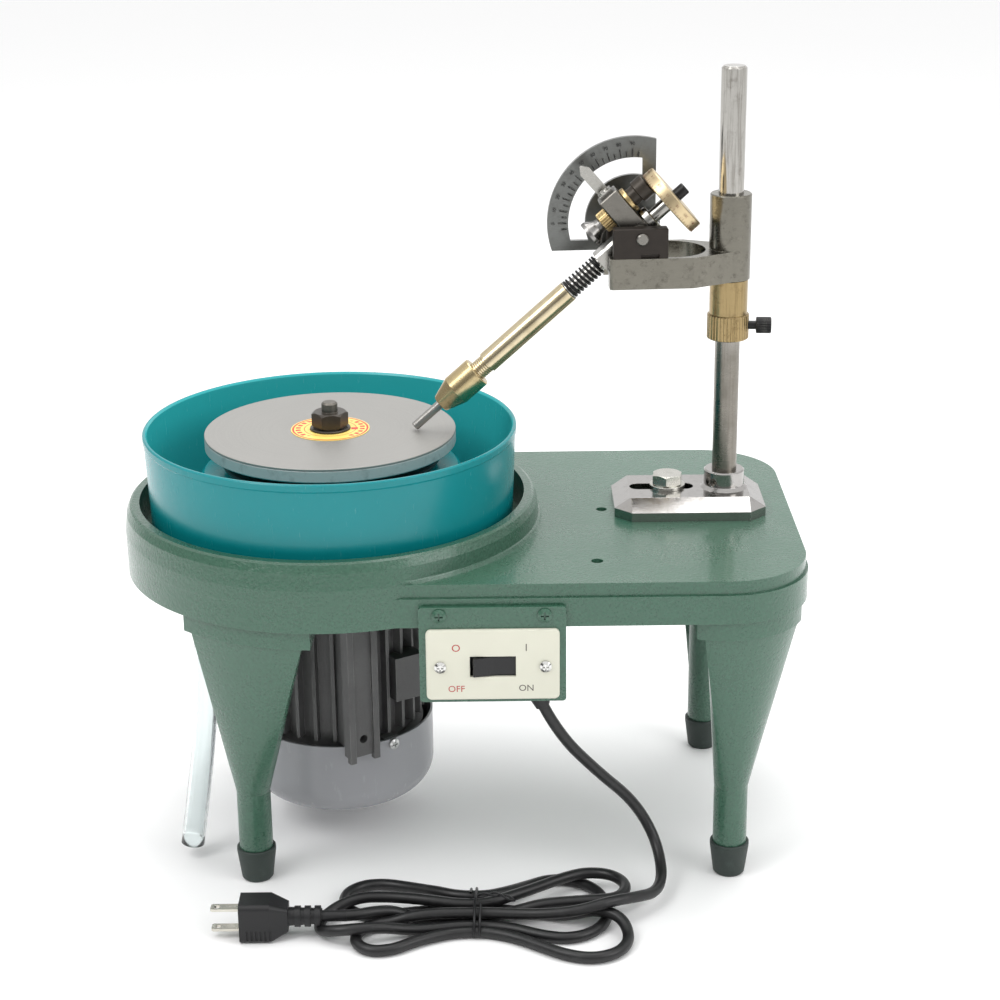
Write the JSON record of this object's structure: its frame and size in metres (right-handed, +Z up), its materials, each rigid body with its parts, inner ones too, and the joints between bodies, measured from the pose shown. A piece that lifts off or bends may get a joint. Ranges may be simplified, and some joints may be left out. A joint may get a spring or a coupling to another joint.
{
  "type": "gem faceting machine",
  "caption": "Bench faceting machine: motor-driven flat lap in a splash bowl on a legged casting, with a slotted mast, swinging arm and tilting indexed quill over the lap.",
  "frame": {"origin": "middle of the machine's footprint on the bench, without its loose cord", "axes": "+X from the lap towards the mast, +Y away from the operator, +Z up"},
  "size_m": [0.4032, 0.3156, 0.465],
  "materials": {
    "green_casting": "hammered green enamel, semi-gloss",
    "foot_rubber": "dark green-black moulded rubber",
    "zinc_fixings": "bright zinc plated screws and bolts",
    "bowl_plastic": "teal moulded plastic, satin inside",
    "nozzle_plastic": "black moulded plastic",
    "hose_vinyl": "clear flexible vinyl",
    "motor_casting": "grey paint over a rough casting",
    "bearing_steel": "ground steel",
    "fan_cover_paint": "smooth grey enamel",
    "stator_steel": "varnished laminations and windings",
    "terminal_box_plastic": "black plastic",
    "fan_plastic": "black moulded plastic",
    "shaft_steel": "ground and turned steel",
    "slinger_black": "black phenolic",
    "plate_aluminium": "turned aluminium",
    "diamond_face": "electroplated fine diamond, matt grey",
    "label_paper": "glossy printed paper disc",
    "nut_plate": "nickel plated",
    "switch_cream": "cream moulded plastic",
    "switch_black": "black moulded plastic",
    "green_screws": "screw heads painted with the casting",
    "plated_screws": "bright plated",
    "gland_rubber": "black rubber",
    "cord_rubber": "black rubber sheathed flex",
    "tie_plastic": "black plastic over wire",
    "plug_plastic": "black moulded plastic",
    "plug_nickel": "nickel plated brass",
    "base_plate_nickel": "worn bright nickel plate",
    "rod_chrome": "hard chrome, ground",
    "bolt_zinc": "bright zinc plated",
    "brass_turned": "turned brass, fluted collar",
    "screw_black": "black oxide",
    "arm_plate": "nickel plate over milled steel",
    "block_black": "brown-black oxide",
    "pin_steel": "bright steel",
    "scale_steel": "engraved satin steel",
    "head_steel": "milled steel",
    "guide_steel": "polished steel",
    "brass_knurled": "knurled brass",
    "plunger_steel": "turned steel",
    "spring_black": "black spring wire",
    "gear_brass": "satin brass with engraved marks",
    "tube_brass": "bright turned brass tube",
    "nut_brass": "turned brass",
    "dop_steel": "turned steel"
  },
  "bodies": {
    "base": {"base_casting": "green_casting", "base_fixings": "zinc_fixings", "bearings": "bearing_steel", "bracket_screws": "green_screws", "cord_gland": "gland_rubber", "cord_hank": "cord_rubber", "cord_tie": "tie_plastic", "drain_hose": "hose_vinyl", "drain_nozzle": "nozzle_plastic", "fan_cover": "fan_cover_paint", "leg_front_left": "green_casting", "leg_front_right": "green_casting", "leg_rear_left": "green_casting", "leg_rear_right": "green_casting", "motor_end_bells": "motor_casting", "motor_housing": "motor_casting", "plate_screws": "plated_screws", "plug_blades": "plug_nickel", "plug_body": "plug_plastic", "power_cord": "cord_rubber", "rubber_feet": "foot_rubber", "splash_bowl": "bowl_plastic", "stator": "stator_steel", "switch_body": "switch_black", "switch_bracket": "green_casting", "switch_plate": "switch_cream", "terminal_box": "terminal_box_plastic"},
    "spindle": {"motor_shaft": "shaft_steel", "cooling_fan": "fan_plastic", "slinger": "slinger_black", "backing_plate": "plate_aluminium", "diamond_lap": "diamond_face", "lap_label": "label_paper", "lap_nut": "nut_plate"},
    "switch_rocker": {"rocker": "switch_black"},
    "clamp": {"clamp_bolt": "bolt_zinc"},
    "column": {"column_base": "base_plate_nickel", "column_rod": "rod_chrome"},
    "carriage": {"height_collar": "brass_turned"},
    "carriage_screw": {"height_clamp_screw": "screw_black"},
    "arm": {"arm_bracket": "arm_plate", "trunnion_front": "block_black", "trunnion_rear": "block_black", "scale_plate": "scale_steel", "pivot_pins": "pin_steel"},
    "head": {"head_block": "head_steel", "quill_guide": "guide_steel", "pointer": "guide_steel", "lock_ring": "brass_knurled", "detent_housing": "block_black", "quill_spring": "spring_black"},
    "detent": {"detent_plunger": "plunger_steel", "detent_nut": "brass_knurled"},
    "quill_carrier": {"spring_washer": "pin_steel"},
    "quill": {"quill_shaft": "guide_steel", "index_gear": "gear_brass", "gear_screw": "screw_black", "quill_tube": "tube_brass", "collet_nut": "nut_brass", "dop_stick": "dop_steel"}
  },
  "joints": [
    {"name": "lap_spin", "type": "hinge", "parent": "base", "child": "spindle", "pos_m": [-0.07695, 0.00013, 0.18], "axis": [0, 0, 1], "continuous": true},
    {"name": "switch_rock", "type": "hinge", "parent": "base", "child": "switch_rocker", "pos_m": [0.01885, -0.11717, 0.15183], "axis": [0, 0, 1], "range_deg": [-18, 0]},
    {"name": "column_swivel", "type": "hinge", "parent": "base", "child": "clamp", "pos_m": [0.12605, 0.01113, 0.205], "axis": [0, 0, 1], "range_deg": [-5, 5]},
    {"name": "column_slide", "type": "slide", "parent": "clamp", "child": "column", "axis": [1, 0, 0], "range_m": [-0.009, 0.017]},
    {"name": "height_slide", "type": "slide", "parent": "column", "child": "carriage", "axis": [0, 0, 1], "range_m": [0, 0.055]},
    {"name": "height_screw_turn", "type": "hinge", "parent": "carriage", "child": "carriage_screw", "pos_m": [0.17711, 0.00876, 0.3125], "axis": [0.9965, -0.0837, 0], "continuous": true},
    {"name": "arm_swing", "type": "hinge", "parent": "carriage", "child": "arm", "pos_m": [0.16055, 0.01113, 0.35], "axis": [0, 0, 1], "range_deg": [-20, 20]},
    {"name": "head_tilt", "type": "hinge", "parent": "arm", "child": "head", "pos_m": [0.10613, 0.00808, 0.3703], "axis": [-0.0558, 0.9984, 0], "range_deg": [0, 20]},
    {"name": "index_pull", "type": "slide", "parent": "head", "child": "detent", "axis": [-0.7501, -0.0419, -0.66], "range_m": [0, 0.005], "stiffness_N_per_m": 400, "springref_m": -0.004},
    {"name": "quill_plunge", "type": "slide", "parent": "head", "child": "quill_carrier", "axis": [0.7501, 0.0419, 0.66], "range_m": [0, 0.006], "stiffness_N_per_m": 900, "springref_m": -0.006, "deforming": ["quill_spring"]},
    {"name": "quill_spin", "type": "hinge", "parent": "quill_carrier", "child": "quill", "pos_m": [0.10529, 0.00303, 0.37158], "axis": [0.7501, 0.0419, 0.66], "continuous": true}
  ]
}
